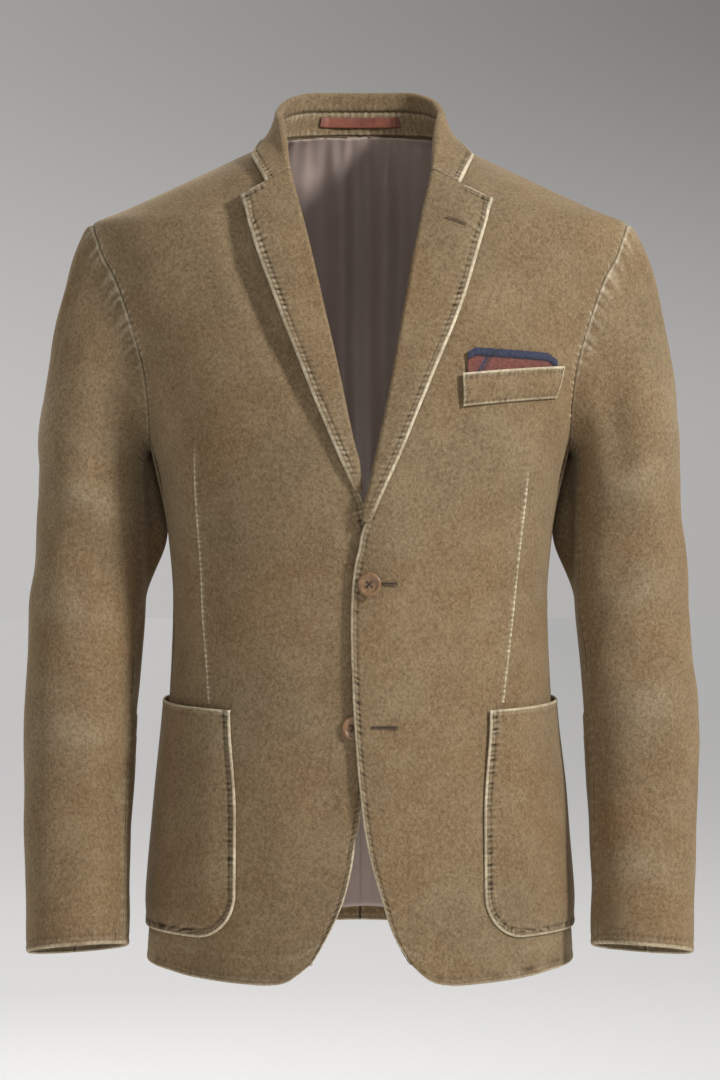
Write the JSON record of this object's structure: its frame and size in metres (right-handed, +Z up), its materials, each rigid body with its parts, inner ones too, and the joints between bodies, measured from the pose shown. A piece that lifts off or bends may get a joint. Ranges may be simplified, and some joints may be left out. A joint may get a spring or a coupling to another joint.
{
  "type": "two-button blazer, worn shape with no wearer",
  "caption": "Single-breasted blazer filled out as if worn, with notch lapels, patch pockets, a breast welt, a folded collar and open neck, hem and cuffs.",
  "frame": {"origin": "the nape: the centre back of the neck seam, on the outer face of the cloth, where the coat rests on its wearer", "axes": "+Z up, the front faces -Y, +X is towards the wearer's left"},
  "size_m": [0.588, 0.2842, 0.7775],
  "materials": {
    "cloth": "washed, brushed cotton",
    "insert": "dull cotton",
    "lining": "satin",
    "leather": "matt",
    "button": "polished"
  },
  "bodies": {
    "root": {"front_left": "cloth", "front_right": "cloth", "back_left": "cloth", "back_right": "cloth", "side_left": "cloth", "side_right": "cloth", "lapel_left": "cloth", "lapel_right": "cloth", "collar_fall": "cloth", "collar_stand": "cloth", "sleeve_top_left": "cloth", "sleeve_top_right": "cloth", "sleeve_under_left": "cloth", "sleeve_under_right": "cloth", "patch_pocket_left": "cloth", "patch_pocket_right": "cloth", "breast_welt": "cloth", "pocket_insert": "insert", "back_lining_left": "lining", "back_lining_right": "lining", "hanger_loop": "leather", "button_top": "button", "button_lower": "button"}
  },
  "joints": []
}
